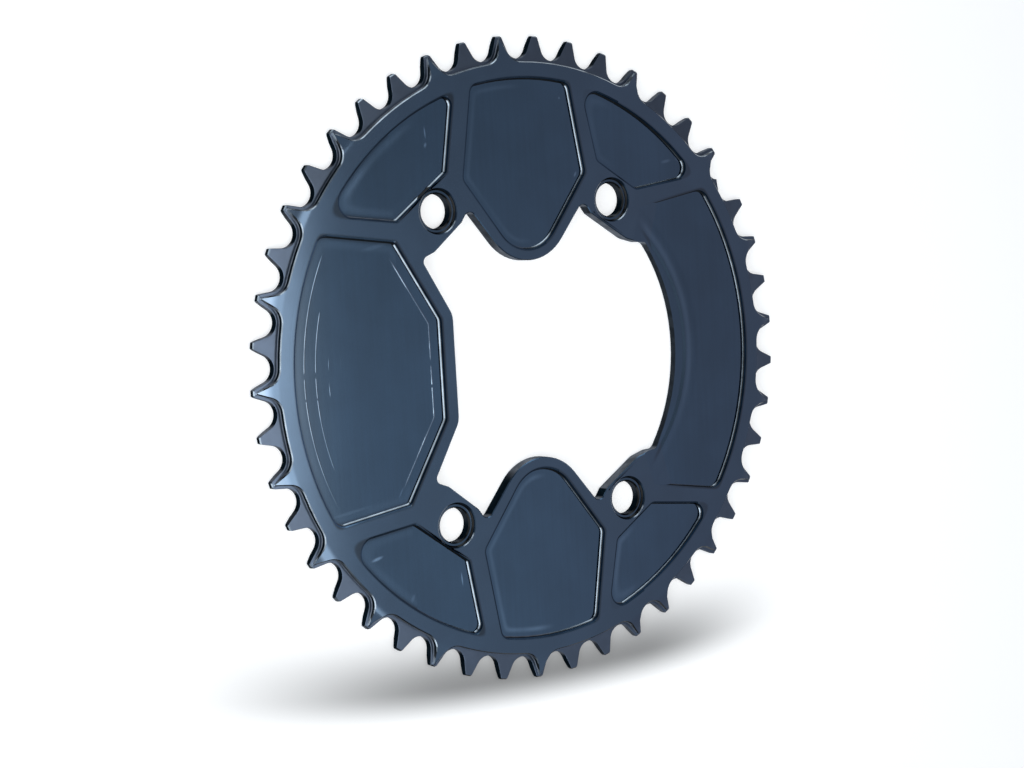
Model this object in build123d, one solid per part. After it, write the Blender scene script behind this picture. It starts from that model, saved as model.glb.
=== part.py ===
"""Narrow-wide chainring for a four-bolt crank: one machined aluminium plate.

Millimetres. The ring's axis is Z, the middle of the bolt pattern is the origin.
The flat back face lies on z = 0 and the pocketed front face is on top.
+Y is the upper side of the ring as it is usually shown, +X its right side.
"""
from build123d import *
import os
from math import asin, atan2, cos, degrees, hypot, radians, sin, sqrt, tan

# plate
thickness = 4.0            # back face to front face
tooth_plate = 2.2          # thickness of the thin tooth layer, flush with the back face
pocket_depth = 1.4         # front face down to a pocket floor
edge_break = 0.25          # chamfer on the opening's front edge and the bolt recesses
back_break = 0.3           # chamfer on the opening's back edge
step_break = 0.28          # chamfer on the thick layer's outer front edge
floor_break = 0.45         # 45 degree slope between a pocket wall and its floor

# chain
chain_pitch = 12.7
tooth_angle = 360 / 45.5            # degrees between neighbouring teeth
full_teeth = 45                     # the stub stands in the one gap of one and a half spacings
first_tooth = 38.1                  # degrees, the first full tooth after the stub
pitch_radius = chain_pitch / (2 * sin(radians(tooth_angle / 2)))
seat_radius = 4.05                  # roller seat, for a 7.75 mm roller with clearance
seat_inset = 0.38                   # seat centre inside the pitch circle
seat_centre = pitch_radius - seat_inset
root_radius = seat_centre - seat_radius
flank_lean = 23.5                   # degrees between a tooth flank and the radius
shoulder_height = 6.15              # above the root, where the flank turns in to the tip
tip_height = 6.7
tip_half = 0.8                      # half width of the flat tip
shoulder_radius = root_radius + shoulder_height
tip_radius = root_radius + tip_height
back_bevel_height = 4.2             # the back of every tooth is bevelled from here to the tip
back_bevel_angle = 12.0

# wide teeth, counted from the first tooth in steps of one spacing
wide_teeth = [0, 3, 7, 9, 12, 14, 16, 18, 20, 22, 24, 26, 29, 32, 33, 35, 37, 39, 41, 43]
step_inset = 0.9                    # the thick layer stays this far inside the tooth profile
wide_tip_height = 5.8               # above the root
wide_tip_half = 0.3
taper_height = 1.2                  # the wide tooth's front slopes down from here
taper_angle = 18.0
wide_tip_radius = root_radius + wide_tip_height

# stub tooth
stub_seat_angle = first_tooth - 3.15        # small seat between the stub and the first tooth
stub_seat_radius = 3.0
stub_seat_centre = root_radius + stub_seat_radius + 0.35
stub_slope = 22.0                   # degrees, rise of the stub's long side
stub_lean = 14.0                    # the first tooth's flank on the stub's side
stub_side_extra = 0.1               # the first tooth is this much wider on the stub's side

# bolts
bolt_circle = 110.0
bolt_half_angle = 35.0              # each bolt from the vertical centre line
bolt_hole_r = 5.0
recess_r = 6.4
recess_depth = 1.1

# pockets
rim_wall = 4.7                      # between the pockets and the thick layer's step
pocket_rim = root_radius - step_inset - rim_wall    # outer arc of every pocket
inner_arc = 54.4                    # open inner edge of the right-hand panel
panel_depth = 1.3                   # the right-hand panel's floor
sill_depth = 1.5                    # the slightly lower sill along the opening
sill_centre = 9.9                   # the sill's outer edge is an arc about this point on X
sill_radius = 48.5
sill_slope_run = 1.0
ramp_run = 9.0                      # length of the slope from a bolt boss to the sill


def polar(radius, angle):
    return (radius * cos(radians(angle)), radius * sin(radians(angle)))


def from_axis(across, outward, angle):
    """Point given across and outward from the axis of the tooth or seat at angle."""
    c = cos(radians(angle))
    s = sin(radians(angle))
    return (outward * c - across * s, outward * s + across * c)


def seat(angle, radius, centre, lean_before, lean_after):
    """Start, middle and end of a roller seat, with the tangent leans at its two ends."""
    a = radians(lean_before)
    b = radians(lean_after)
    start = from_axis(-radius * cos(a), centre - radius * sin(a), angle)
    end = from_axis(radius * cos(b), centre - radius * sin(b), angle)
    return start, from_axis(0, centre - radius, angle), end


def flank_half_width(r):
    """Half width of a regular tooth at radius r on its straight flank."""
    lean = radians(flank_lean)
    side = seat_radius * cos(lean) + (r - seat_centre + seat_radius * sin(lean)) * tan(lean)
    return r * sin(radians(tooth_angle / 2)) - side


def tooth_outline():
    """Outline of the thin layer: every tooth, every roller seat and the stub."""
    edges = []
    half = flank_half_width(shoulder_radius)
    first_half = half + stub_side_extra
    tip_out = sqrt(tip_radius ** 2 - tip_half ** 2)
    last = first_tooth + (full_teeth - 1) * tooth_angle
    for i in range(full_teeth):
        angle = first_tooth + i * tooth_angle
        low = half if i > 0 else first_half
        right = from_axis(-low, shoulder_radius, angle)
        left = from_axis(half, shoulder_radius, angle)
        tip_right = from_axis(-tip_half, tip_out, angle)
        tip_left = from_axis(tip_half, tip_out, angle)
        edges.append(Line(right, tip_right))
        edges.append(ThreePointArc(tip_right, polar(tip_radius, angle), tip_left))
        edges.append(Line(tip_left, left))
        gap = angle + tooth_angle / 2
        start, middle, end = seat(gap, seat_radius, seat_centre, flank_lean, flank_lean)
        if i < full_teeth - 1:
            following = from_axis(-half, shoulder_radius, angle + tooth_angle)
            edges.append(Line(left, start))
            edges.append(ThreePointArc(start, middle, end))
            edges.append(Line(end, following))
    # the stub: a long slope out of the last regular seat, then a small seat
    gap = last + tooth_angle / 2
    lean_end = 90 - stub_slope
    start, middle, slope_foot = seat(gap, seat_radius, seat_centre, flank_lean, lean_end)
    edges.append(Line(left, start))
    edges.append(ThreePointArc(start, middle, slope_foot))
    foot_across = seat_radius * sin(radians(stub_slope))
    foot_out = seat_centre - seat_radius * cos(radians(stub_slope))
    turn = stub_seat_angle + 360 - gap
    cx = stub_seat_centre * sin(radians(turn))
    cy = stub_seat_centre * cos(radians(turn))
    ux = cos(radians(stub_slope))
    uy = sin(radians(stub_slope))
    along = (cx - foot_across) * ux + (cy - foot_out) * uy
    beside = (cy - foot_out) * ux - (cx - foot_across) * uy
    reach = along - sqrt(stub_seat_radius ** 2 - beside ** 2)
    stub_tip = from_axis(foot_across + reach * ux, foot_out + reach * uy, gap)
    edges.append(Line(slope_foot, stub_tip))
    small = seat(stub_seat_angle, stub_seat_radius, stub_seat_centre, 0, stub_lean)
    edges.append(ThreePointArc(stub_tip, small[1], small[2]))
    edges.append(Line(small[2], from_axis(-first_half, shoulder_radius, first_tooth)))
    return make_face(edges)


def thick_outline():
    """Outline of the thick layer: a ring inside the seats, pointed on the wide teeth."""
    step_radius = root_radius - step_inset
    ring = Circle(step_radius)
    seat_out = seat_radius + step_inset
    px = wide_tip_half
    py = wide_tip_radius
    cx = seat_centre * sin(radians(tooth_angle / 2))
    cy = seat_centre * cos(radians(tooth_angle / 2))
    reach = hypot(cx - px, cy - py)
    run = sqrt(reach ** 2 - seat_out ** 2)
    heading = atan2(cy - py, cx - px) - asin(seat_out / reach)
    tx = px + run * cos(heading)
    ty = py + run * sin(heading)
    foot = polar(step_radius, tooth_angle / 2)
    fx = foot[1]
    fy = foot[0]
    mid_turn = (degrees(atan2(ty - cy, tx - cx)) % 360 + degrees(atan2(fy - cy, fx - cx)) % 360) / 2
    mx = cx + seat_out * cos(radians(mid_turn))
    my = cy + seat_out * sin(radians(mid_turn))
    inner = step_radius * 0.9
    teeth = []
    for i in wide_teeth:
        angle = first_tooth + i * tooth_angle
        tip_right = from_axis(-px, py, angle)
        tip_left = from_axis(px, py, angle)
        outline = [
            Line(from_axis(-fx, inner, angle), from_axis(-fx, fy, angle)),
            ThreePointArc(
                from_axis(-fx, fy, angle), from_axis(-mx, my, angle), from_axis(-tx, ty, angle)
            ),
            Line(from_axis(-tx, ty, angle), tip_right),
            Line(tip_right, tip_left),
            Line(tip_left, from_axis(tx, ty, angle)),
            ThreePointArc(
                from_axis(tx, ty, angle), from_axis(mx, my, angle), from_axis(fx, fy, angle)
            ),
            Line(from_axis(fx, fy, angle), from_axis(fx, inner, angle)),
            Line(from_axis(fx, inner, angle), from_axis(-fx, inner, angle)),
        ]
        teeth.append(make_face(outline))
    return ring + teeth


def rounded(face, corners):
    """The face with a fillet at each (x, y, radius) corner."""
    for x, y, radius in corners:
        vertex = face.vertices().sort_by_distance((x, y, 0))[0]
        face = fillet(vertex, radius)
    return face


def mirrored(points):
    return [(x, -y) for x, y in points]


def pocket_face(points, corners):
    """A pocket's outline: straight sides, closed by the common outer arc."""
    face = make_face(Polyline(*points, close=True)) & Circle(pocket_rim)
    return rounded(face, corners)


def sunk(face, depth, corner=floor_break):
    """Solid to take away: the face from the front plane down, with a broken floor edge."""
    tool = extrude(Pos(0, 0, thickness - depth) * face, amount=depth)
    floor = tool.faces().sort_by(Axis.Z)[0]
    return chamfer(floor.edges(), corner)


def opening_face():
    """Central opening: two rounded tabs, four bolt bosses and the right-hand arc."""
    tab_tip = 29.0
    tab_radius = 15.5
    tab_lean = radians(51)
    tab_x = tab_radius * sin(tab_lean)
    tab_y = tab_tip + tab_radius * (1 - cos(tab_lean))
    notch_x = 18.9
    notch_y = tab_y + (notch_x - tab_x) * tan(tab_lean)
    edges = []
    for side in (1, -1):
        left = [(-28.5, 0), (-28.5, 15.3), (-38.1, 31.8), (-33.4, 33.6), (-23.5, 41.4), (-22.4, 43.0)]
        right = [(22.4, 43.0), (23.6, 41.3), (36.2, 33.1), (41.0, 31.7), (60.0, 31.0), (60.0, 0)]
        left = [(x, side * y) for x, y in left]
        right = [(x, side * y) for x, y in right]
        edges += [Line(a, b) for a, b in zip(left, left[1:])]
        edges.append(ThreePointArc(left[-1], (-20.6, side * 44.1), (-notch_x, side * notch_y)))
        edges.append(Line((-notch_x, side * notch_y), (-tab_x, side * tab_y)))
        edges.append(ThreePointArc((-tab_x, side * tab_y), (0, side * tab_tip), (tab_x, side * tab_y)))
        edges.append(Line((tab_x, side * tab_y), (notch_x, side * notch_y)))
        edges.append(ThreePointArc((notch_x, side * notch_y), (20.6, side * 44.1), right[0]))
        edges += [Line(a, b) for a, b in zip(right, right[1:])]
    face = make_face(edges) & Circle(inner_arc)
    corners = []
    for side in (1, -1):
        corners.append((-28.5, side * 15.3, 6.0))
        corners.append((-38.1, side * 31.8, 1.7))
        corners.append((-33.4, side * 33.6, 3.0))
        corners.append((-23.5, side * 41.4, 0.8))
        corners.append((23.6, side * 41.3, 0.8))
        corners.append((36.2, side * 33.1, 6.0))
        corners.append((41.0, side * 31.7, 6.0))
        corners.append((44.2, side * 31.5, 2.5))
    return rounded(face, corners)


# pockets of the left, top, bottom and corner panels; their sides run out past the common arc
out = pocket_rim + 8
left_face = pocket_face(
    [(-32.6, -14.4), (-32.6, 14.4), (-46.6, 37.2), (-out, 43.3), (-out, -43.3), (-46.6, -37.2)],
    [(-32.6, 14.4, 3), (-32.6, -14.4, 3), (-46.6, 37.2, 2), (-46.6, -37.2, 2),
     (-71.2, 40.7, 4), (-71.2, -40.7, 4)],
)
tab_line = radians(52.8)
tab_pocket_radius = 12.0
tab_pocket_tip = 32.3
hip_x = 22.1                        # widest place of the tab pocket
end_x = 16.0                        # half width where its sides would meet the rim's outside
nose_x = tab_pocket_radius * sin(tab_line)
nose_y = tab_pocket_tip + tab_pocket_radius * (1 - cos(tab_line))
hip_y = nose_y + (hip_x - nose_x) * tan(tab_line)


def tab_pocket(side):
    """Shield-shaped pocket of the top or bottom tab."""
    edges = [
        ThreePointArc((-nose_x, side * nose_y), (0, side * tab_pocket_tip), (nose_x, side * nose_y)),
        Line((nose_x, side * nose_y), (hip_x, side * hip_y)),
        Line((hip_x, side * hip_y), (end_x, side * out)),
        Line((end_x, side * out), (-end_x, side * out)),
        Line((-end_x, side * out), (-hip_x, side * hip_y)),
        Line((-hip_x, side * hip_y), (-nose_x, side * nose_y)),
    ]
    face = make_face(edges) & Circle(pocket_rim)
    return rounded(face, [(hip_x, side * hip_y, 3), (-hip_x, side * hip_y, 3),
                          (end_x, side * pocket_rim, 3), (-end_x, side * pocket_rim, 3)])


left_corner = [(-22.0, out), (-27.8, 55.9), (-45.6, 42.9), (-out, 48.6)]
right_corner = [(19.7, out), (26.8, 57.0), (41.0, 47.8), (out, 54.1)]
left_corner_rounds = [(-24.1, 78.4, 2.5), (-27.8, 55.9, 1.5), (-45.6, 42.9, 2.5), (-67.9, 45.8, 4.5)]
right_corner_rounds = [(22.3, 78.9, 4), (26.8, 57.0, 2), (41.0, 47.8, 3), (64.3, 50.8, 3.5)]
corner_faces = []
for points, rounds in ((left_corner, left_corner_rounds), (right_corner, right_corner_rounds)):
    outer = [(-out, out)] if points[0][0] < 0 else [(out, out)]
    flipped = [(x, -y, r) for x, y, r in rounds]
    corner_faces.append(pocket_face(points + outer, rounds))
    corner_faces.append(pocket_face(mirrored(points + outer), flipped))

# right-hand panel: a floor with a lower sill along the opening, sloping up to the bolt bosses
panel_face = pocket_face(
    [(37.5, 28.0), (42.0, 42.25), (out, 50.37), (out, -50.37), (42.0, -42.25), (37.5, -28.0)],
    [(67.7, 46.6, 4.5), (67.7, -46.6, 4.5)],
)


def boss_ramp(side):
    """Wedge left standing beside a bolt boss: it falls from the front face to the sill."""
    top = thickness
    low = thickness - sill_depth
    outline = Polyline((-9, 0, top + 1), (-9, 0, low), (ramp_run, 0, low), (0, 0, top), (0, 0, top + 1),
                       close=True)
    wedge = extrude(make_face(outline), amount=40, both=True, dir=(0, 1, 0))
    return Pos(41.5, side * 42.2, 0) * Rot(0, 0, side * -17.5) * wedge


def front_edges(shape):
    """Edges lying in the front plane, each with a key made of its middle point."""
    found = {}
    for edge in shape.edges():
        middle = edge.position_at(0.5)
        if abs(edge.center().Z - thickness) < 1e-4:
            found[(round(middle.X, 2), round(middle.Y, 2))] = edge
    return found


def outer_step_edges(shape):
    """Edges between the thick layer's side wall and its front, slopes of the wide teeth included."""
    count = {}
    for face in shape.faces():
        middle = face.center()
        if middle.Z > tooth_plate + 0.1 and abs(face.normal_at(middle).Z) > 0.9:
            for edge in face.edges():
                spot = edge.position_at(0.5)
                key = (round(spot.X, 2), round(spot.Y, 2), round(spot.Z, 2))
                count[key] = count.get(key, 0) + 1
    chosen = []
    for edge in shape.edges():
        middle = edge.position_at(0.5)
        key = (round(middle.X, 2), round(middle.Y, 2), round(middle.Z, 2))
        level = abs(edge.tangent_at(0.5).Z) < 0.9
        if count.get(key, 0) == 1 and level and hypot(middle.X, middle.Y) > pocket_rim:
            if hypot(middle.X, middle.Y) < wide_tip_radius - 0.1:
                chosen.append(edge)
    return chosen


# the plate
thin = extrude(tooth_outline(), amount=tooth_plate)
thick = extrude(Pos(0, 0, tooth_plate) * thick_outline(), amount=thickness - tooth_plate)
body = thin + thick

# wide teeth slope down to the tip, and the backs of all teeth carry a small bevel
beyond = tip_radius + 2
taper_start = root_radius + taper_height
taper_end = thickness - (beyond - taper_start) * tan(radians(taper_angle))
slope_cut = make_face(Polyline(
    (taper_start, 0, thickness), (beyond, 0, thickness + 1), (beyond, 0, taper_end), close=True))
bevel_start = root_radius + back_bevel_height
bevel_end = (beyond - bevel_start) * tan(radians(back_bevel_angle))
back_cut = make_face(Polyline((bevel_start, 0, 0), (beyond, 0, -1), (beyond, 0, bevel_end), close=True))
for profile in (slope_cut, back_cut):
    body -= revolve(profile, Axis.Z)

body = chamfer(outer_step_edges(body), step_break)

opening = extrude(opening_face(), amount=thickness)
body -= opening
body = chamfer([e for e in front_edges(body).values() if hypot(e.center().X, e.center().Y) < 60], edge_break)
rear = [e for e in body.edges() if abs(e.center().Z) < 1e-4 and hypot(e.center().X, e.center().Y) < 60]
body = chamfer(rear, back_break)

# pockets
pocket_tools = [sunk(left_face, pocket_depth), sunk(tab_pocket(1), pocket_depth),
                sunk(tab_pocket(-1), pocket_depth)]
pocket_tools += [sunk(face, pocket_depth) for face in corner_faces]
for tool in pocket_tools:
    body -= tool

panel_tool = sunk(panel_face, panel_depth)
sill = Pos(sill_centre, 0, thickness - (sill_depth + panel_depth) / 2) * Cone(
    sill_radius - sill_slope_run, sill_radius, sill_depth - panel_depth)
panel_tool += sill & extrude(Pos(0, 0, thickness - sill_depth) * panel_face, amount=sill_depth)
for side in (1, -1):
    panel_tool -= boss_ramp(side)
body -= panel_tool

# bolt holes with a recess for the bolt heads
for sx in (1, -1):
    for sy in (1, -1):
        x = sx * bolt_circle / 2 * sin(radians(bolt_half_angle))
        y = sy * bolt_circle / 2 * cos(radians(bolt_half_angle))
        rim_z = thickness - edge_break / 2
        body -= Pos(x, y, thickness / 2) * Cylinder(bolt_hole_r, thickness)
        body -= Pos(x, y, thickness - recess_depth / 2) * Cylinder(recess_r, recess_depth)
        body -= Pos(x, y, rim_z) * Cone(recess_r, recess_r + edge_break, edge_break)

if __name__ == "__main__":
    os.makedirs("parts", exist_ok=True)
    solid = body.solids()[0]
    export_step(solid, "parts/chainring.step")
    box = solid.bounding_box()
    print("solids", len(body.solids()), "volume", round(solid.volume), box.min, box.max)
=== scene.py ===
"""A dark anodised chainring lying on a white studio floor, seen from its left.

Metres. The ring's axis is Z, its back lies on z = 0 and its pocketed front looks up.
"""

import math

import bmesh
import bpy
import numpy as np
from mathutils import Matrix, Vector


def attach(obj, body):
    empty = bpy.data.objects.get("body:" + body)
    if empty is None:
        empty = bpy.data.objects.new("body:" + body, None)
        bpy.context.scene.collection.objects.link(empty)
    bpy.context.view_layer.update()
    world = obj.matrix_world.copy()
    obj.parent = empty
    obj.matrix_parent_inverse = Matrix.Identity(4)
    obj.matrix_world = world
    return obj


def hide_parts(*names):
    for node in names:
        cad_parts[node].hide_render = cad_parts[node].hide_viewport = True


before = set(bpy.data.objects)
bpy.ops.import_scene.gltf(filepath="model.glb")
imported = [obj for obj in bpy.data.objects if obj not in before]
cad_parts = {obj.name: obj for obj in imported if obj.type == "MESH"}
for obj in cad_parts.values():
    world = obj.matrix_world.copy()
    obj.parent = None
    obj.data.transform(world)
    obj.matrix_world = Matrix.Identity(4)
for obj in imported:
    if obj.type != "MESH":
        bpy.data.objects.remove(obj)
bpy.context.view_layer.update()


# ---- The ring ----
# One plate of machined aluminium, 4 mm thick, anodised dark slate blue. Its front is turned
# smooth and the pocket floors are milled; the near black of the cut sides is painted shade.

FRONT = 0.004       # height of the front
PLATE = 0.0022      # height of the narrow teeth's fronts
SEAT_LOW, SEAT_HIGH = 0.0025, 0.0035  # the seats round the bolt holes lie between these heights
UPRIGHT = 0.2       # a wall's normal has less z than this
LEVEL = 0.99        # a level face's normal has more z than this
CURVED_STEP = math.radians(22)
FLAT_STEP = math.radians(3)
MOUTH_BREAK = 0.0004
TIP_BREAK = 0.0003
TIP_START = 0.0905  # the narrow teeth's ends lie outside this radius
RIM_WIDTH = 0.00045
RIM_DROP = 0.00010
RIM_WALL = 0.0003   # the middle of a wall lies deeper than this, that of an edge break doesn't
LOOKS_LEFT = -0.45  # a pocket's rim keeps its height where its wall's normal has less x than this
FULL_DROP = 0.3     # and it is fully rolled where the normal has this much more


def merged_copy(node, name):
    """A copy of a CAD node as a bmesh whose loose triangles share their corners again."""
    mesh = node.data.copy()
    mesh.name = name
    bm = bmesh.new()
    bm.from_mesh(mesh)
    bmesh.ops.remove_doubles(bm, verts=bm.verts, dist=2e-6)
    bm.normal_update()
    return mesh, bm


def upright(face):
    return abs(face.normal.z) < UPRIGHT


def level_corners(bm, low, high):
    """Edges between two heights where a wall meets a level face that looks up, with their walls."""
    found = []
    for edge in bm.edges:
        if len(edge.link_faces) == 2 and all(low < corner.co.z < high for corner in edge.verts):
            walls = [face for face in edge.link_faces if upright(face)]
            floors = [face for face in edge.link_faces if face.normal.z > LEVEL]
            if len(walls) == 1 and len(floors) == 1:
                found.append((edge, walls[0]))
    return found


def bevel(bm, edges, width):
    bmesh.ops.bevel(bm, geom=edges, offset=width, segments=1, affect="EDGES")
    bm.normal_update()


def break_hole_mouths(bm):
    """Bevels the edge between each bolt hole's wall and the seat round it."""
    mouths = []
    for edge, _ in level_corners(bm, SEAT_LOW, SEAT_HIGH):
        a, b = (corner.co for corner in edge.verts)
        if abs(a.z - b.z) < 1e-6:
            mouths.append(edge)
    bevel(bm, mouths, MOUTH_BREAK)


def break_tips(bm):
    """Bevels the front edge of each narrow tooth's end."""
    tips = []
    for edge, wall in level_corners(bm, PLATE - 5e-5, PLATE + 5e-5):
        a, b = (corner.co.xy for corner in edge.verts)
        if min(a.length, b.length) > TIP_START and wall.normal.xy.dot(a.normalized()) > 0.9:
            tips.append(edge)
    bevel(bm, tips, TIP_BREAK)


def roll_pocket_rims(bm):
    """Turns the pockets' rims down a little, as a tumbled edge is.

    The front face gets a band inside its outline. Where the band ends on a pocket wall that doesn't
    look left, its outer corners go down. The faces of that band come back.
    """
    face_on = [face for face in bm.faces
               if face.normal.z > 0.999 and face.calc_center_median().z > FRONT - 1e-5]
    band = bmesh.ops.inset_region(bm, faces=face_on, thickness=RIM_WIDTH, use_boundary=True,
                                  use_even_offset=True)["faces"]
    bm.normal_update()
    rolled = []
    rim = {}
    for face in band:
        for edge in face.edges:
            for wall in edge.link_faces:
                deep = wall.calc_center_median().z < FRONT - RIM_WALL
                if wall is not face and upright(wall) and deep and wall.normal.x > LOOKS_LEFT:
                    rolled.append(face)
                    share = min(1.0, (wall.normal.x - LOOKS_LEFT) / FULL_DROP)
                    for corner in edge.verts:
                        rim[corner] = max(rim.get(corner, 0.0), share)
    for corner, share in rim.items():
        corner.co.z -= RIM_DROP * share
    bm.normal_update()
    return rolled


def mark_sharp(bm):
    """An edge is sharp where its faces turn by more than the facets of one curve do.

    That is 22 degrees on walls and bevels, and 3 degrees where both faces are nearly level.
    """
    for edge in bm.edges:
        if len(edge.link_faces) == 2:
            a, b = (face.normal for face in edge.link_faces)
            both_flat = abs(a.z) > 0.9 and abs(b.z) > 0.9
            edge.smooth = a.angle(b, 0) < (FLAT_STEP if both_flat else CURVED_STEP)
    for face in bm.faces:
        face.smooth = True


ring_mesh, bm = merged_copy(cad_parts["chainring"], "ring")
rim_layer = bm.faces.layers.int.new("rolled_rim")
break_hole_mouths(bm)
break_tips(bm)
mark_sharp(bm)
for face in roll_pocket_rims(bm):
    face.smooth = True
    face[rim_layer] = 1
bm.to_mesh(ring_mesh)
bm.free()
ring = bpy.data.objects.new("ring", ring_mesh)
bpy.context.scene.collection.objects.link(ring)
even = ring.modifiers.new("even_normals", "WEIGHTED_NORMAL")
even.mode = "FACE_AREA"
even.weight = 100
even.keep_sharp = True


class Finish:
    """A material and short calls that add nodes to it."""

    def __init__(self, name, dye, roughness, coat, coat_roughness, metallic=1.0, specular=0.5):
        self.material = bpy.data.materials.new(name)
        self.material.use_nodes = True
        self.tree = self.material.node_tree
        self.skin = self.tree.nodes["Principled BSDF"]
        for socket, value in (("Base Color", (*dye, 1)), ("Metallic", metallic),
                              ("Specular IOR Level", specular), ("Roughness", roughness),
                              ("Coat Weight", coat), ("Coat Roughness", coat_roughness)):
            self.skin.inputs[socket].default_value = value
        self.place = self.add("ShaderNodeTexCoord").outputs["Object"]
        self.x, self.y, self.z = self.add("ShaderNodeSeparateXYZ", self.place).outputs

    def add(self, kind, *inputs, **settings):
        node = self.tree.nodes.new(kind)
        for key, value in settings.items():
            setattr(node, key, value)
        for socket, value in zip(node.inputs, inputs):
            self.feed(socket, value)
        return node

    def feed(self, socket, value):
        if isinstance(value, bpy.types.NodeSocket):
            self.tree.links.new(value, socket)
        else:
            socket.default_value = value

    def math(self, operation, *inputs):
        return self.add("ShaderNodeMath", *inputs, operation=operation).outputs[0]

    def times(self, first, *others):
        for other in others:
            first = self.math("MULTIPLY", first, other)
        return first

    def plus(self, first, *others):
        for other in others:
            first = self.math("ADD", first, other)
        return first

    def minus(self, first, second):
        return self.math("SUBTRACT", first, second)

    def most(self, first, second):
        return self.math("MAXIMUM", first, second)

    def over(self, value, limit):
        """1 where the value is over the limit, and 0 elsewhere."""
        return self.math("GREATER_THAN", value, limit)

    def under(self, value, limit):
        """1 where the value is under the limit, and 0 elsewhere."""
        return self.math("LESS_THAN", value, limit)

    def absolute(self, value):
        return self.math("ABSOLUTE", value)

    def vector(self, operation, *inputs):
        return self.add("ShaderNodeVectorMath", *inputs, operation=operation).outputs[0]

    def point(self, x, y):
        return self.add("ShaderNodeCombineXYZ", x, y, 0.0).outputs[0]

    def dot(self, vector, fixed):
        node = self.add("ShaderNodeVectorMath", vector, fixed, operation="DOT_PRODUCT")
        return node.outputs["Value"]

    def length(self, vector):
        return self.add("ShaderNodeVectorMath", vector, operation="LENGTH").outputs["Value"]

    def scaled(self, vector, amount):
        node = self.add("ShaderNodeVectorMath", vector, operation="SCALE")
        self.feed(node.inputs["Scale"], amount)
        return node.outputs[0]

    def ramp(self, value, low, high, to_low=0.0, to_high=1.0):
        """Goes smoothly from to_low at low to to_high at high."""
        return self.add("ShaderNodeMapRange", value, low, high, to_low, to_high,
                        interpolation_type="SMOOTHSTEP").outputs[0]

    def pick(self, mask, off, on):
        """One value where the mask is 0 and another where it is 1."""
        return self.ramp(mask, 0.0, 1.0, off, on)

    def gate(self, value, low, high, soft):
        """1 between low and high, with soft ends."""
        return self.times(self.ramp(value, low - soft, low + soft),
                          self.ramp(value, high - soft, high + soft, 1.0, 0.0))

    def ridge(self, value, centre, half_width):
        """1 at the centre, falling straight to 0 at the half width on both sides."""
        off = self.math("DIVIDE", self.absolute(self.minus(value, centre)), half_width)
        return self.most(self.minus(1.0, off), 0.0)

    def noise(self, vector, scale, detail):
        node = self.add("ShaderNodeTexNoise")
        self.feed(node.inputs["Vector"], vector)
        node.inputs["Scale"].default_value = scale
        node.inputs["Detail"].default_value = detail
        return node.outputs[0]

    def mottled(self, scale, detail, low, high):
        """A number that wanders between low and high over the surface."""
        return self.ramp(self.noise(self.place, scale, detail), 0.3, 0.7, low, high)

    def radius(self):
        """The place without its height, and how far that is from the ring's axis."""
        flat = self.point(self.x, self.y)
        return flat, self.length(flat)

    def bump(self, height):
        node = self.add("ShaderNodeBump")
        node.inputs["Distance"].default_value = 1.0
        self.feed(node.inputs["Height"], height)
        return node.outputs[0]

    def bend(self, normal):
        """Uses the normal on the metal and on the clear oxide over it."""
        self.feed(self.skin.inputs["Normal"], normal)
        self.feed(self.skin.inputs["Coat Normal"], normal)

    def tint(self, dye, amount, pale=None, wear_and_painted_light=None):
        """The dye times a number that varies over the surface, plus a second colour for wear and
        for painted light.
        """
        colour = self.scaled(dye, amount)
        if pale is not None:
            colour = self.vector("ADD", colour, self.scaled(pale, wear_and_painted_light))
        self.feed(self.skin.inputs["Base Color"], colour)


DYE = (0.085, 0.143, 0.226)
FLOOR_DYE = (0.062, 0.120, 0.199)
THIN_DYE = (0.086, 0.122, 0.186)
# painted light and shade: a light tone for broken edges, and near black for rims, walls and sides
PAINTED_EDGE_LIGHT = (0.190, 0.225, 0.260)
PAINTED_RIM_SHADE = (0.022, 0.040, 0.066)
PAINTED_WALL_SHADE = (0.005, 0.013, 0.026)
PAINTED_SIDE_SHADE = (0.003, 0.007, 0.011)
PALE = (0.32, 0.36, 0.40)
# painted light on the walls where they look up the picture, and on the cut sides
PAINTED_LIGHT_NAVY = (0.012, 0.030, 0.060)
PAINTED_LIGHT_GREY = (0.19, 0.20, 0.225)

# The pockets' outlines, in millimetres: half planes from a start to an end, each with how far it
# is smoothed into the ones before it, the first being the common arc. They are written for the
# pockets at the top and serve for those at the bottom in |y|, and for the tab pockets in |x| too.
# INSIDE has a point inside each pocket. A tab pocket's last side turns into a round nose.
POCKET_ARC = 0.0820
SIDES = {
    "left": [((-90.0, 43.3), (-46.6, 37.2), 2.75), ((-46.6, 37.2), (-32.6, 14.4), 0.77),
             ((-32.6, 14.4), (-32.6, -14.4), 0.45)],
    "left_corner": [((-27.8, 55.9), (-22.0, 90.0), 4.75), ((-90.0, 48.6), (-45.6, 42.9), 8.5),
                    ((-45.6, 42.9), (-27.8, 55.9), 0.6)],
    "tab": [((22.1, 53.57), (16.0, 90.0), 2.1), ((9.56, 37.05), (22.1, 53.57), 1.0)],
    "right_corner": [((26.8, 57.0), (19.7, 90.0), 7.8), ((90.0, 54.1), (41.0, 47.8), 7.1),
                     ((41.0, 47.8), (26.8, 57.0), 0.7)],
    "panel": [((42.0, 42.25), (90.0, 50.37), 2.8), ((40.0, 60.0), (40.0, -60.0), 0.1)],
}
INSIDE = {"left": (-60, 0), "left_corner": (-45, 60), "tab": (0, 60), "right_corner": (45, 60),
          "panel": (70, 0)}
NOSE_CENTRE = (0.0, 0.0443, 0.0)
NOSE_RADIUS = 0.012
NOSE_SIDE = (0.6046, 0.7965, 0.0)
NOSE_START = 0.03529
BOLT = (0.03155, 0.04505, 0.0)
HOLE_REACH = 0.0056   # a bolt hole and its bevel lie within this distance of its axis
SEAT_REACH = 0.0066   # the seat round it lies within this
MOUTH_REACH = 0.0072  # and the break at the seat's mouth within this
PAST_MOUTH = 0.0074


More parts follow.
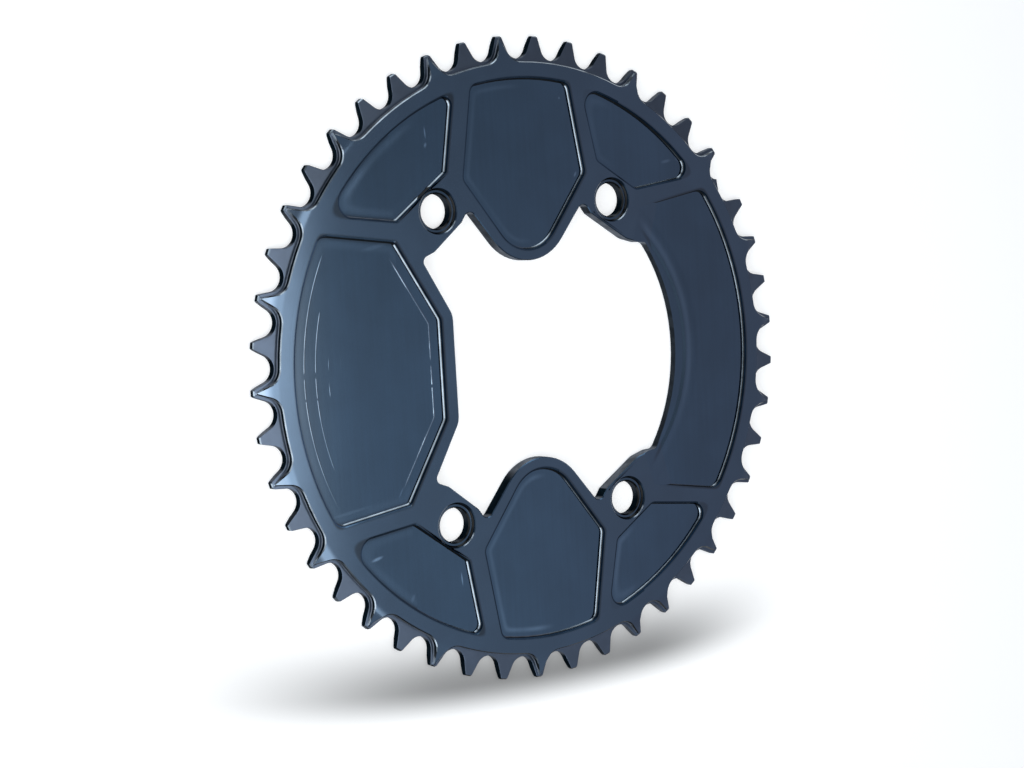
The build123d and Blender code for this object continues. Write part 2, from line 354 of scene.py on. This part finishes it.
def pocket_depths(finish):
    """How far inside each pocket's outline a point is, in metres, and below 0 outside it.

    It is the least of the distances to the outline's sides, with the corners rounded off. Round
    the nose of a tab pocket it is the nose's radius less the distance to the nose's centre.
    """
    across = finish.absolute(finish.y)
    plain = finish.point(finish.x, across)
    folded = finish.point(finish.absolute(finish.x), across)
    arc = finish.minus(POCKET_ARC, finish.length(plain))
    depths = {}
    for pocket, sides in SIDES.items():
        depth = arc
        for number, (start, end, soft) in enumerate(sides):
            start, end = np.array(start) / 1000, np.array(end) / 1000
            normal = np.array([start[1] - end[1], end[0] - start[0]])
            normal /= np.hypot(*normal)
            if normal @ (np.array(INSIDE[pocket]) / 1000 - start) < 0:
                normal = -normal
            spot = folded if pocket == "tab" else plain
            gap = finish.minus(finish.dot(spot, (*normal, 0.0)), float(normal @ start))
            if pocket == "tab" and number == len(sides) - 1:
                off = finish.length(finish.vector("SUBTRACT", folded, NOSE_CENTRE))
                nose = finish.minus(NOSE_RADIUS, off)
                below = finish.under(finish.dot(folded, NOSE_SIDE), NOSE_START)
                gap = finish.plus(gap, finish.times(below, finish.minus(nose, gap)))
            depth = finish.math("SMOOTH_MIN", depth, gap, soft / 1000)
        depths[pocket] = depth
    return depths


def facing(finish, direction, low, high, dark, bright):
    """Goes from dark to bright as the level part of the surface normal turns to the direction; it
    paints light and shade by direction.
    """
    normal = finish.add("ShaderNodeNewGeometry").outputs["Normal"]
    level = finish.vector("NORMALIZE", finish.vector("MULTIPLY", normal, (1.0, 1.0, 0.0)))
    return finish.ramp(finish.dot(level, (*direction, 0.0)), low, high, dark, bright)


def bolt_distance(finish):
    """Distance from the nearest bolt hole's axis."""
    folded = finish.point(finish.absolute(finish.x), finish.absolute(finish.y))
    return finish.length(finish.vector("SUBTRACT", folded, BOLT))


# The turned front. The wide teeth's slope runs into it in a soft bend: the normal of the sharp
# CAD edge is moved to tan(18 degrees) times a smooth step of the radius, along the radius. Painted
# shade darkens it along the pockets' rims, and a pale painted highlight lies on the tips of the
# teeth on the left.
SLOPE = math.tan(math.radians(18))
SLOPE_EDGE = 0.08881
BEND_START, BEND_END = 0.0868, 0.0926
front = Finish("turned_front", DYE, 0.125, 1.0, 0.11)
flat, r = front.radius()
turning = front.noise(front.add("ShaderNodeCombineXYZ", r, 0.0, 0.0).outputs[0], 2600, 3)
fine = front.plus(front.times(turning, 1.2e-6),
                  front.times(front.noise(front.place, 260, 3), 2.2e-6))
soft_step = front.ramp(r, BEND_START, BEND_END)
push = front.times(front.minus(soft_step, front.over(r, SLOPE_EDGE)), SLOPE)
tilt = front.scaled(front.vector("NORMALIZE", flat), push)
front.bend(front.vector("NORMALIZE", front.vector("ADD", front.bump(fine), tilt)))
shade = front.mottled(90, 4, 0.95, 1.05)
depths = pocket_depths(front)
painted_shade_limits = {  # the painted shade is weaker at the left of these, and the panel has none there
    "tab": front.ramp(front.x, -0.014, -0.006, 0.35, 1.0),
    "right_corner": front.ramp(front.x, 0.028, 0.040, 0.3, 1.0),
    "panel": front.ramp(front.x, 0.042, 0.060, 0.0, 1.0),
}
for pocket, width, strength in (("left", 0.0010, 0.72), ("left_corner", 0.0009, 0.6),
                                ("tab", 0.0009, 0.55), ("right_corner", 0.0006, 0.35),
                                ("panel", 0.0008, 0.55)):
    painted_rim_shade = front.ramp(depths[pocket], -width, -0.0001, 0.0, strength)
    painted_rim_shade = front.times(painted_rim_shade, painted_shade_limits.get(pocket, 1.0))
    shade = front.times(shade, front.minus(1.0, painted_rim_shade))
# painted highlight: pale on the tips of the teeth on the left
tips = front.times(front.ramp(r, 0.0890, 0.0928), front.ramp(front.x, -0.080, -0.070, 0.30, 0.0))
front.tint(DYE, shade, PALE, tips)

# The milled floors, with the cutter's passes in the long pocket: one ridge along its outline,
# and short arcs at its left. The tops of the ridges get a pale painted highlight.
PASS_INSET = 0.0037
PASS_ARCS = (  # radius, from y, to y, strength
    (0.0746, -0.0095, 0.0190, 0.85), (0.0746, -0.0240, -0.0095, 0.35),
    (0.0704, 0.0035, 0.0062, 0.35), (0.0704, -0.0040, -0.0008, 0.50),
    (0.0664, 0.0040, 0.0066, 0.15),
)
milled = Finish("milled_floor", FLOOR_DYE, 0.11, 1.0, 0.105)
flat, r = milled.radius()
inside = pocket_depths(milled)
depth_in = inside["left"]
for pocket in ("left_corner", "tab", "right_corner", "panel"):
    depth_in = milled.most(depth_in, inside[pocket])

in_left = milled.times(milled.under(milled.x, -0.0326), milled.over(inside["left"], 0.0))
lower_end = milled.ramp(milled.x, -0.060, -0.045, 0.25, 0.8)
off_top = milled.minus(milled.absolute(milled.y), milled.times(milled.x, -0.14))
passes = milled.times(
    milled.ridge(inside["left"], PASS_INSET, 0.00024), in_left,
    milled.ramp(milled.y, -0.034, -0.006, lower_end, 1.0),
    milled.ramp(off_top, 0.0225, 0.0265, 1.0, 0.0),
    milled.ramp(milled.x, -0.060, -0.040, 0.85, 1.7))
for radius, low, high, strength in PASS_ARCS:
    passes = milled.plus(passes, milled.times(
        milled.ridge(r, radius, 0.0002), milled.gate(milled.y, low, high, 0.0012), in_left,
        strength))
pauses = milled.plus(milled.gate(milled.y, 0.0014, 0.0032, 0.0004),
                     milled.gate(milled.y, -0.0047, -0.0040, 0.0003))
passes = milled.times(passes, milled.minus(1.0, pauses), milled.mottled(180, 2, 0.6, 1.2))
lay = milled.noise(milled.vector("MULTIPLY", milled.place, (900.0, 25.0, 1.0)), 1.0, 2)
cloud = milled.noise(milled.place, 150, 3)
milled.bend(milled.bump(milled.plus(
    milled.times(passes, 1.2e-5), milled.times(lay, 1.0e-6), milled.times(cloud, 4e-6))))

# Painted highlights: light bands on the floors beside the left sides of the pockets and along the
# panel's sill, with a faint painted shade just outside the sill's band. The sill is round about a
# point to the right of the ring's axis.
SILL_CENTRE = (0.0099, 0.0, 0.0)
LEFT_END = -0.046  # the long pocket and the left corners reach further left than this
upper = milled.over(milled.y, 0.0)
at_left = milled.under(milled.x, LEFT_END)
long_painted_highlight = milled.times(milled.gate(depth_in, 0.0012, 0.0030, 0.0009), 0.25, at_left)
tab_painted_highlight = milled.times(
    milled.gate(inside["tab"], 0.0019, 0.0027, 0.0008),
    milled.ramp(milled.x, -0.004, 0.003, 1.0, 0.0), milled.pick(upper, 1.7, 0.55))
right_painted_highlight = milled.times(
    milled.gate(inside["right_corner"], 0.0014, 0.0026, 0.0009),
    milled.ramp(milled.x, 0.0285, 0.036, 1.0, 0.0), milled.pick(upper, 0.8, 0.3))
left_painted_highlight = milled.times(
    milled.gate(inside["left_corner"], 0.0016, 0.0032, 0.0009), upper,
    milled.ramp(milled.x, -0.064, -0.050, 2.2, 0.8),
    milled.ramp(milled.x, -0.044, -0.036, 1.0, 0.0),
    milled.ramp(milled.y, 0.049, 0.054, 0.15, 1.0))
patchy = milled.ramp(milled.noise(milled.place, 45, 2), 0.35, 0.65, 0.4, 1.0)
sill = milled.length(milled.vector("SUBTRACT", flat, SILL_CENTRE))
on_panel = milled.ramp(milled.x, 0.040, 0.047)
sill_painted_light = milled.times(
    milled.plus(milled.times(milled.gate(sill, 0.0490, 0.0506, 0.0009), 0.55),
                milled.times(milled.gate(sill, 0.0520, 0.0530, 0.0009), -0.12)),
    on_panel, milled.ramp(milled.y, -0.030, -0.005, 0.2, 1.0))
# all the painted highlight bands, made patchy
band = milled.times(milled.plus(long_painted_highlight, tab_painted_highlight, right_painted_highlight, left_painted_highlight), patchy)
band = milled.plus(band, sill_painted_light)

RUBS = [  # place, direction in degrees, half length, half width, strength; millimetres
    (-58.4, -51.2, 14, 2.6, 0.7, 2.2), (-30.0, -61.0, 95, 2.6, 0.35, 2.2),
    (-47.2, -64.0, 60, 1.8, 0.8, 0.5), (54.3, 55.5, 8, 2.6, 0.7, 0.7),
    (58.8, 56.0, 130, 1.6, 0.5, 1.0), (-33.6, 67.4, 95, 2.2, 0.35, 2.0),
    (-33.7, 63.9, 70, 1.0, 0.6, 1.7), (19.2, 53.2, 60, 1.2, 0.5, 1.3),
    (14.8, 75.8, 0, 0.6, 0.5, 0.9), (-66.0, -36.9, 8, 9.0, 0.7, 0.35),
    (-53.0, 36.2, 10, 6.0, 0.9, 0.4), (-49.0, -33.4, 60, 2.2, 0.35, 0.8),
]
rubs_and_painted_highlight = 0.0
for x, y, turn, half_length, half_width, strength in RUBS:
    c, s = math.cos(math.radians(turn)), math.sin(math.radians(turn))
    shifted = milled.vector("SUBTRACT", milled.place, (x / 1000, y / 1000, 0.0))
    along = milled.dot(shifted, (c / half_length * 1000, s / half_length * 1000, 0.0))
    beside = milled.dot(shifted, (-s / half_width * 1000, c / half_width * 1000, 0.0))
    far = milled.length(milled.point(along, beside))
    rubs_and_painted_highlight = milled.plus(rubs_and_painted_highlight, milled.ramp(far, 0.2, 1.0, strength, 0.0))

# Painted shade: the floor is darker at the left end and at the foot of the walls there, on the
# sill's slope, on the seats and a little on the panel. Painted light: it is a little lighter right
# of the long pocket and toward the bottom.
painted_sill_shade = milled.times(milled.gate(sill, 0.0474, 0.0486, 0.0003), on_panel)
painted_at_foot = milled.times(milled.ramp(depth_in, 0.0004, 0.0014, 0.4, 0.0), at_left)
off_bolt = bolt_distance(milled)
seat = milled.under(off_bolt, SEAT_REACH)
shade = milled.times(milled.mottled(70, 4, 0.94, 1.05), milled.ramp(lay, 0.3, 0.7, 0.97, 1.03))
shade = milled.plus(shade, milled.times(milled.plus(band, rubs_and_painted_highlight), 0.4))
shade = milled.times(
    shade,
    milled.ramp(milled.x, -0.0815, -0.0660, 0.55, 1.0),
    milled.ramp(milled.x, -0.060, -0.020, 1.0, 1.13),
    milled.ramp(milled.x, 0.046, 0.060, 1.0, 0.91),
    milled.ramp(milled.y, -0.020, 0.020, 1.08, 1.0),
    milled.pick(painted_sill_shade, 1.0, 0.62), milled.minus(1.0, painted_at_foot), milled.pick(seat, 1.0, 0.75))

# painted highlight: a pale line at the foot of the seats' right walls
aside = milled.times(milled.minus(milled.absolute(milled.x), BOLT[0]),
                     milled.math("SIGN", milled.x))
painted_seat_line = milled.times(milled.gate(off_bolt, 0.0058, 0.0061, 0.00015),
                    milled.ramp(aside, 0.0035, 0.0058), seat)
# the pale share: painted highlights on the ridges, the seat line and the bands, and the rubs
wear_and_painted_light = milled.plus(milled.times(passes, 0.75), milled.times(painted_seat_line, 0.9),
                   milled.times(rubs_and_painted_highlight, 0.22), milled.times(band, 0.20))
milled.tint(FLOOR_DYE, shade, PALE, wear_and_painted_light)

# The thin teeth's fronts, coarser, with a small radius to their edges. Painted shade makes them
# darker at the top.
thin = Finish("tooth_front", THIN_DYE, 0.3, 1.0, 0.28)
edge = thin.add("ShaderNodeBevel", samples=6)
edge.inputs["Radius"].default_value = 0.00028
thin.bend(edge.outputs[0])
thin.tint(THIN_DYE, thin.times(thin.mottled(200, 3, 0.92, 1.08),
                               thin.ramp(thin.y, 0.030, 0.060, 1.0, 0.72)))

# Broken edges: the feet of the pocket walls, the step's edge and the bevels of the narrow teeth
# and the holes. A painted highlight makes them bright at their foot where they look up and left;
# painted shade makes them dark elsewhere and at the bolt holes.
broken = Finish("broken_edge", PAINTED_EDGE_LIGHT, 0.2, 0.2, 0.2)
away_from_bolts = bolt_distance(broken)
at_panel = broken.times(broken.over(broken.x, 0.060),
                        broken.under(broken.absolute(broken.y), 0.0475))
foot_end = broken.pick(at_panel, broken.ramp(broken.x, -0.034, -0.010, 0.00290, 0.00283), 0.00291)
painted_at_foot = broken.times(
    broken.ramp(broken.minus(broken.z, foot_end), -0.00005, 0.00004, 1.0, 0.05),
    broken.pick(at_panel, 1.0, broken.ramp(broken.y, 0.018, 0.034, 0.75, 0.35)))
step_edge = broken.over(broken.z, 0.0035)
tooth_end = broken.under(broken.z, PLATE + 0.0002)
rubs_and_painted_highlight = broken.times(broken.most(painted_at_foot, step_edge),
                      facing(broken, (-0.75, 0.66), -0.1, 0.35, 0.0, 1.0))
rubs_and_painted_highlight = broken.most(rubs_and_painted_highlight, broken.times(
    tooth_end, facing(broken, (-1.0, 0.0), 0.5, 0.9, 0.0, 1.1)))
rubs_and_painted_highlight = broken.times(rubs_and_painted_highlight, broken.ramp(away_from_bolts, MOUTH_REACH, PAST_MOUTH))
painted_edge_shade = broken.times(
    facing(broken, (0.0, 1.0), 0.80, 0.96, 0.05, 0.30),
    broken.ramp(away_from_bolts, MOUTH_REACH, PAST_MOUTH, 0.2, 1.0),
    broken.ramp(broken.y, 0.030, 0.040, 0.3, 1.0))
broken.tint(PAINTED_EDGE_LIGHT, broken.times(broken.mottled(300, 3, 0.75, 1.15),
                                   broken.plus(painted_edge_shade, rubs_and_painted_highlight)))

# The rolled rims of the pockets and the breaks round the seats' mouths. Painted shade makes them
# dark; painted light makes them lighter where they look up and right, most of all at the far left,
# and on the right of the panel. A seat's mouth has a pale painted highlight where it looks up and
# left.
rim = Finish("rolled_rim", PAINTED_RIM_SHADE, 0.25, 0.06, 0.25)
off_bolt = bolt_distance(rim)
painted_open_side_light = rim.times(facing(rim, (0.80, 0.60), -0.1, 0.5, 0.0, 1.0),
                      rim.ramp(rim.x, -0.074, -0.060, 3.0, 1.0))
painted_rim_tone = rim.times(
    rim.mottled(120, 3, 0.8, 1.3), rim.plus(1.0, painted_open_side_light),
    rim.ramp(off_bolt, MOUTH_REACH, PAST_MOUTH + 0.0001, 0.35, 1.0),
    rim.ramp(rim.x, 0.0600, 0.0635, 1.0, 2.6))
painted_mouth_highlight = rim.times(rim.under(off_bolt, MOUTH_REACH),
                     facing(rim, (-0.64, 0.77), 0.90, 0.99, 0.0, 0.75))
rim.tint(PAINTED_RIM_SHADE, painted_rim_tone, PALE, painted_mouth_highlight)

# Walls of the pockets and seats, matt, with painted shade that makes them near black, and navy
# painted light where they look up the picture.
wall = Finish("pocket_wall", PAINTED_WALL_SHADE, 0.5, 0.0, 0.3, metallic=0.0, specular=0.0)
painted_upward_light = wall.times(facing(wall, (0.0, 1.0), 0.55, 0.95, 0.0, 0.9),
                    wall.ramp(bolt_distance(wall), SEAT_REACH + 0.0002, SEAT_REACH + 0.0004))
wall.tint(PAINTED_WALL_SHADE, wall.mottled(300, 3, 0.7, 1.3), PAINTED_LIGHT_NAVY, painted_upward_light)

# Cut walls of the teeth, the opening and the holes: matt, with painted shade that makes them near
# black where they look left; painted light makes them grey where they look up or down the picture,
# and lighter along the panel's side of the opening and at the step's foot where it looks left.
POCKETS_END = 0.0825  # the pockets and the panel lie inside this radius
side = Finish("cut_side", PAINTED_SIDE_SHADE, 0.5, 0.0, 0.3, metallic=0.0, specular=0.0)
normal = side.add("ShaderNodeNewGeometry").outputs["Normal"]
to_top = side.dot(normal, (0.0, 1.0, 0.0))
to_bottom = side.dot(normal, (0.0, -1.0, 0.0))
to_left = side.dot(normal, (-1.0, 0.0, 0.0))
flat, r = side.radius()
outside_painted_light = side.most(side.ramp(side.absolute(to_top), 0.62, 0.97, 0.0, 0.85),
                         side.ramp(to_bottom, 0.45, 0.85, 0.0, 0.6))
hole_painted_light = side.plus(side.ramp(to_top, -0.7, 0.3, 0.16, 0.0),
                      side.ramp(to_top, 0.85, 1.0, 0.0, 0.4))
in_hole = side.under(bolt_distance(side), HOLE_REACH)
painted_panel_side_light = side.times(side.over(side.x, 0.0415), side.under(r, 0.0600), 0.10)
painted_step_foot_light = side.times(
    side.over(side.z, PLATE), side.ramp(side.z, PLATE + 0.0002, PLATE + 0.0005, 1.0, 0.0),
    side.over(r, POCKETS_END), side.ramp(to_left, 0.6, 0.95), 1.2)
wear_and_painted_light = side.plus(side.pick(in_hole, outside_painted_light, hole_painted_light), painted_panel_side_light, painted_step_foot_light)
grain = side.mottled(300, 3, 0.7, 1.3)
side.tint(PAINTED_SIDE_SHADE, grain, PAINTED_LIGHT_GREY, side.times(wear_and_painted_light, grain))

back = Finish("turned_back", DYE, 0.16, 1.0, 0.14)
back.tint(DYE, back.mottled(90, 4, 0.93, 1.07))

finishes = [front, milled, thin, broken, rim, wall, side, back]
ring.data.materials.clear()
for finish in finishes:
    ring.data.materials.append(finish.material)

count = len(ring.data.polygons)


def face_vectors(name):
    """A vector of every face, one face in a row."""
    values = np.empty(count * 3)
    ring.data.polygons.foreach_get(name, values)
    return values.reshape(-1, 3)


up = face_vectors("normal")[:, 2]
middle = face_vectors("center")
height = middle[:, 2]
rolled_rim = np.empty(count, np.int32)
ring.data.attributes["rolled_rim"].data.foreach_get("value", rolled_rim)
within = np.hypot(middle[:, 0], middle[:, 1]) < POCKETS_END
walls = np.abs(up) < UPRIGHT
level = up > 0.93
choice = np.full(count, finishes.index(broken))
for where, finish in (
        (walls, side),
        (walls & within & (height > 0.0029), wall),
        (up < -UPRIGHT, back),
        (level, front),
        (level & within & (height < FRONT - 0.00015), milled),
        (~level & (up > UPRIGHT) & within & (height > FRONT - 0.0003), rim),
        (rolled_rim > 0, rim),
        (level & ~within & (height < PLATE + 0.0001), thin)):
    choice[where] = finishes.index(finish)
ring.data.polygons.foreach_set("material_index", choice.astype(np.int32))

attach(ring, "root")
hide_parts("chainring")


# ---- Floor ----
# A white studio floor under the ring. Eyes and reflections see it white, with the ring's own shadow
# and a painted soft shadow.

FLOOR_HALF = 3.0
FLOOR_COLOUR = (0.6, 0.6, 0.6)
NEAR_GLOW, FAR_GLOW = 0.52, 0.9
NEAR_END, FAR_START = 0.25, 0.9
floor_mesh = bpy.data.meshes.new("floor")
floor_mesh.from_pydata(
    [(-FLOOR_HALF, -FLOOR_HALF, 0), (FLOOR_HALF, -FLOOR_HALF, 0),
     (FLOOR_HALF, FLOOR_HALF, 0), (-FLOOR_HALF, FLOOR_HALF, 0)], [], [(0, 1, 2, 3)])
floor = bpy.data.objects.new("floor", floor_mesh)
bpy.context.scene.collection.objects.link(floor)
paper = Finish("white_paper", FLOOR_COLOUR, 0.9, 0.0, 0.3, metallic=0.0)

# painted shadow: a soft grey pool along the ring's lower edge, deepest under the middle; the edge
# is a parabola
PAINTED_SHADOW_MIDDLE = 0.010
PAINTED_SHADOW_CURVE = 0.75
PAINTED_SHADOW_EDGE = 0.094
PAINTED_SHADOW_DEPTH = 0.75
edge_line = paper.times(paper.math("POWER", paper.minus(paper.x, PAINTED_SHADOW_MIDDLE), 2.0), PAINTED_SHADOW_CURVE)
below_edge = paper.minus(paper.minus(edge_line, PAINTED_SHADOW_EDGE), paper.y)
painted_shadow = paper.times(
    paper.ramp(below_edge, -0.0005, 0.0115, 1.0, 0.0), paper.ramp(below_edge, -0.022, 0.0),
    paper.ramp(paper.x, -0.145, -0.030), paper.ramp(paper.x, 0.035, 0.105, 1.0, 0.0), PAINTED_SHADOW_DEPTH)
outside_painted_shadow = paper.minus(1.0, painted_shadow)
paper.tint(FLOOR_COLOUR, outside_painted_shadow)

# eyes and reflections also see a glow, which grows with distance so that the floor stays white
glow = paper.add("ShaderNodeEmission")
away = paper.ramp(paper.length(paper.place), NEAR_END, FAR_START, NEAR_GLOW, FAR_GLOW)
paper.feed(glow.inputs["Strength"], paper.times(outside_painted_shadow, away))
both = paper.add("ShaderNodeAddShader", paper.skin.outputs[0], glow.outputs[0])
rays = paper.add("ShaderNodeLightPath")
seen = rays.outputs["Is Camera Ray"]
for kind in ("Is Glossy Ray", "Is Transmission Ray"):
    seen = paper.most(seen, rays.outputs[kind])
choose = paper.add("ShaderNodeMixShader", seen, paper.skin.outputs[0], both.outputs[0])
paper.feed(paper.tree.nodes["Material Output"].inputs[0], choose.outputs[0])
floor_mesh.materials.append(paper.material)


# ---- Studio light ----
# Softboxes over the ring whose edges the left rim mirrors, low panels on the left and at the
# back that the small bevels catch, and a dim bluish room around them.

ROOM = 0.40
world = bpy.data.worlds.new("room")
bpy.context.scene.world = world
world.use_nodes = True
room_tree = world.node_tree
room = room_tree.nodes["Background"]
to_eye = room_tree.nodes.new("ShaderNodeNewGeometry").outputs["Incoming"]
parts = room_tree.nodes.new("ShaderNodeSeparateXYZ")
room_tree.links.new(to_eye, parts.inputs[0])


def by_direction(axis, low, high, at_low, at_high):
    """Goes smoothly from at_low to at_high along one axis of the direction looked in.

    The node has the way back to the eye, so both limits change sign and places.
    """
    node = room_tree.nodes.new("ShaderNodeMapRange")
    node.interpolation_type = "SMOOTHSTEP"
    room_tree.links.new(parts.outputs[axis], node.inputs["Value"])
    for socket, value in zip(node.inputs[1:5], (-high, -low, at_high, at_low)):
        socket.default_value = value
    return node.outputs[0]


def both_of(operation, first, second):
    node = room_tree.nodes.new("ShaderNodeMath")
    node.operation = operation
    for socket, value in zip(node.inputs, (first, second)):
        if isinstance(value, bpy.types.NodeSocket):
            room_tree.links.new(value, socket)
        else:
            socket.default_value = value
    return node.outputs[0]


# The ring's left mirrors the directions whose x is about 0.51, and its right those with 0.66.
# In between the room dims and turns a little less blue. It is also dimmed toward the top of
# the picture, except on the right.
across = by_direction("X", 0.51, 0.66, 1.22 * ROOM, 0.80 * ROOM)
toward_top = by_direction("Y", -0.07, 0.02, 0.0, 0.27)
left = by_direction("X", 0.58, 0.64, 1.0, 0.0)
dimmed = both_of("SUBTRACT", 1.0, both_of("MULTIPLY", toward_top, left))
room_tree.links.new(both_of("MULTIPLY", across, dimmed), room.inputs["Strength"])
hue = room_tree.nodes.new("ShaderNodeCombineColor")
room_tree.links.new(by_direction("X", 0.53, 0.66, 0.79, 0.88), hue.inputs[0])
room_tree.links.new(by_direction("X", 0.53, 0.66, 0.895, 0.875), hue.inputs[1])
hue.inputs[2].default_value = 1.0
room_tree.links.new(hue.outputs[0], room.inputs["Color"])


def softbox(name, centre, target, width, height, radiance, colour):
    """A panel light that looks at the target. Its power is pi times radiance times its area."""
    data = bpy.data.lights.new(name, "AREA")
    data.shape = "RECTANGLE"
    data.size = width
    data.size_y = height
    data.energy = math.pi * radiance * width * height
    data.color = colour
    lamp = bpy.data.objects.new(name, data)
    lamp.location = centre
    look = Vector(target) - Vector(centre)
    lamp.rotation_euler = look.to_track_quat("-Z", "Y").to_euler()
    lamp.visible_camera = False
    bpy.context.scene.collection.objects.link(lamp)
    return lamp


def ring_side(azimuth, elevation, distance):
    """Point at a distance from the ring's middle, in a direction given in degrees."""
    a = math.radians(azimuth)
    e = math.radians(elevation)
    return (distance * math.cos(e) * math.cos(a), distance * math.cos(e) * math.sin(a),
            distance * math.sin(e))


# four boxes whose right edges fan out from one point, so that the mirrored edge is soft
EDGE_TOP = Vector((0.128, 0.030, 0.35))
BOX_WIDTH, BOX_HEIGHT = 0.30, 0.29
for number, turn in enumerate((-8, -4, -1, 3)):
    tilt = Matrix.Rotation(math.radians(turn), 3, "Z")
    middle = EDGE_TOP + tilt @ Vector((-BOX_WIDTH / 2 + 0.0022 * (number - 1.5), -0.085,
                                       0.0005 * number))
    box = softbox("overhead_box_%d" % number, middle, (middle.x, middle.y, 0), BOX_WIDTH,
                  BOX_HEIGHT, 0.46, (1, 1, 0.97))
    box.rotation_euler = (0, 0, math.radians(turn))
# four smaller ones whose right edges step to the left: the wide teeth's slopes mirror them
CORE_LEFT = -0.14
for number in range(4):
    right = 0.035 - 0.03 * number
    width = right - CORE_LEFT
    softbox("overhead_core_%d" % number, (right - width / 2, -0.025, 0.353 + 0.001 * number),
            (right - width / 2, -0.025, 0), width, 0.17, 0.27, (1, 0.97, 0.95))
PANEL_DISTANCE = 0.9
for name, azimuth, elevation, width, height, radiance, colour in (
        ("left_panel", 210, 34, 1.0, 0.34, 3.0, (0.95, 0.98, 1)),
        ("left_back_panel", 152, 34, 0.72, 0.34, 1.6, (0.93, 0.97, 1)),
        ("back_panel", 85, 19, 0.8, 0.28, 2.1, (0.92, 0.97, 1))):
    softbox(name, ring_side(azimuth, elevation, PANEL_DISTANCE), (0, 0, 0), width, height,
            radiance, colour)


# ---- Camera ----
# It looks down at the ring from the left, at the photograph's angle.

EYE = (-0.41460, 0.05429, 0.56448)
TURN = Vector((0.06648, 0.62808, 0.0836))  # the axis of its turn, as long as the angle in radians
view = Matrix.Rotation(TURN.length, 3, TURN.normalized())
camera_data = bpy.data.cameras.new("camera")
camera_data.sensor_width = 36
camera_data.lens = 83.877
camera_data.clip_start = 0.01
camera = bpy.data.objects.new("camera", camera_data)
camera.matrix_world = Matrix.Translation(EYE) @ view.transposed().to_4x4()
bpy.context.scene.collection.objects.link(camera)
bpy.context.scene.camera = camera

bpy.context.scene.view_settings.view_transform = "Standard"
